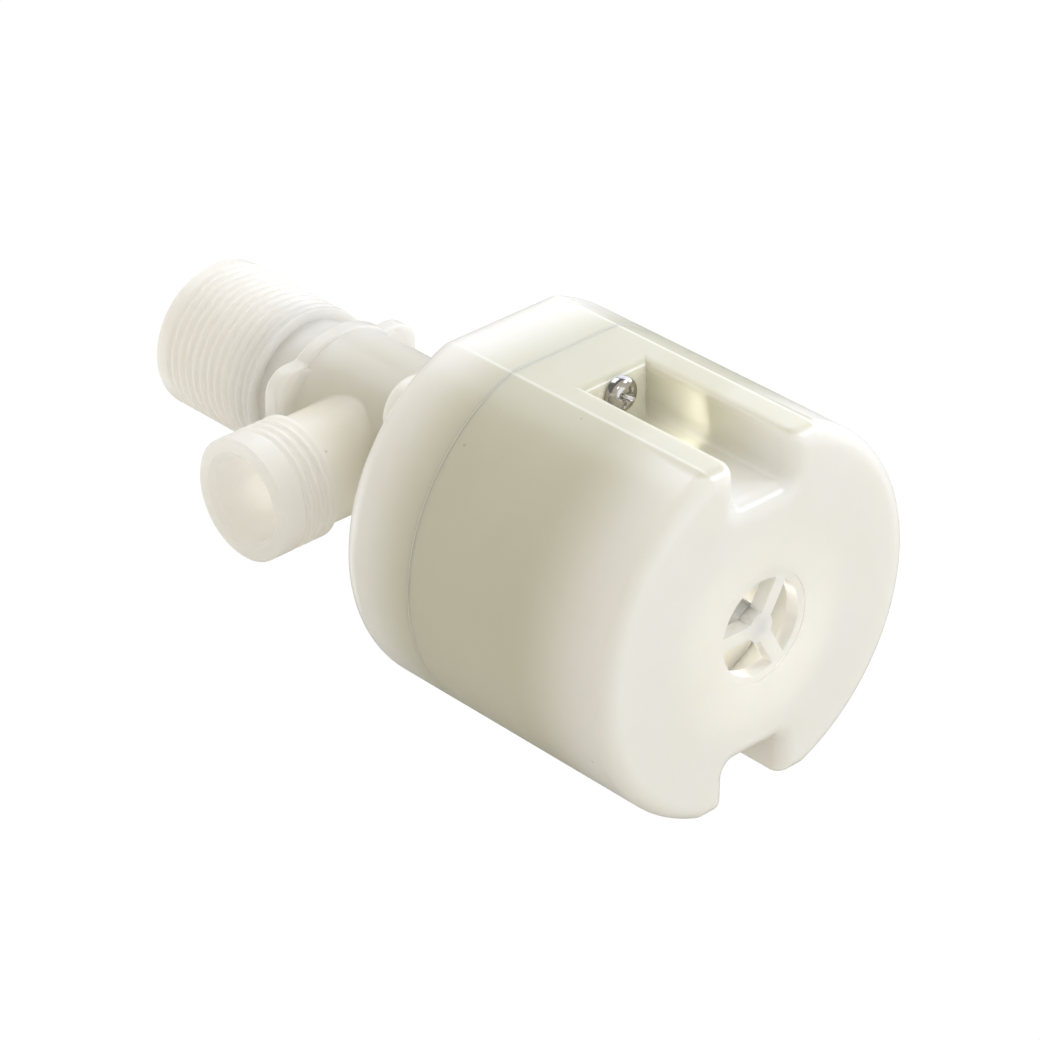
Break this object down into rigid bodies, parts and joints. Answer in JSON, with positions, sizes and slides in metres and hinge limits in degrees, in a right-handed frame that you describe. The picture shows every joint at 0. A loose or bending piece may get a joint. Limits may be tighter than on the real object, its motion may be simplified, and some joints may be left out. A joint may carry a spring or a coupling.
{
  "type": "float valve",
  "caption": "Pilot-operated water-level valve: a hollow ring float slides on a fixed plastic body with a male inlet thread on top and a male outlet thread at the side.",
  "frame": {"origin": "centre of the inlet's end face", "axes": "+Z along the inlet towards the supply pipe, -Y out of the side outlet, X across the two slotted flats"},
  "size_m": [0.0614, 0.0659, 0.1275],
  "materials": {
    "body_nylon": "translucent natural nylon, satin gloss",
    "float_nylon": "translucent natural nylon, satin gloss",
    "housing_nylon": "translucent natural nylon",
    "black_rubber": "moulded rubber",
    "white_rubber": "silicone rubber",
    "stainless": "stainless steel",
    "stainless_mesh": "woven stainless mesh",
    "chrome_screw": "bright plated steel"
  },
  "bodies": {
    "fixed_body": {"valve_body": "body_nylon", "strainer_frame": "housing_nylon", "strainer_mesh": "stainless_mesh", "pilot_housing": "housing_nylon", "housing_oring": "black_rubber", "clamp_nut": "housing_nylon", "pilot_nozzle": "housing_nylon", "nozzle_oring": "black_rubber", "piston_spring": "stainless"},
    "piston": {"main_piston": "housing_nylon", "piston_seal": "black_rubber", "seal_retainer": "housing_nylon", "seat_pad": "white_rubber", "pad_retainer": "stainless", "pad_screw": "stainless", "pad_nut": "stainless"},
    "float": {"float_shell": "float_nylon", "float_cap": "float_nylon", "float_plug": "float_nylon", "outer_gasket": "white_rubber", "inner_gasket": "white_rubber", "float_screws": "chrome_screw", "pad_holder": "float_nylon", "pilot_pad": "white_rubber"}
  },
  "joints": [
    {"name": "float_slide", "type": "slide", "parent": "fixed_body", "child": "float", "axis": [0, 0, 1], "range_m": [0, 0.005]},
    {"name": "piston_slide", "type": "slide", "parent": "fixed_body", "child": "piston", "axis": [0, 0, 1], "range_m": [-0.004, 0], "stiffness_N_per_m": 300, "springref_m": 0.01, "deforming": ["piston_spring"]}
  ]
}
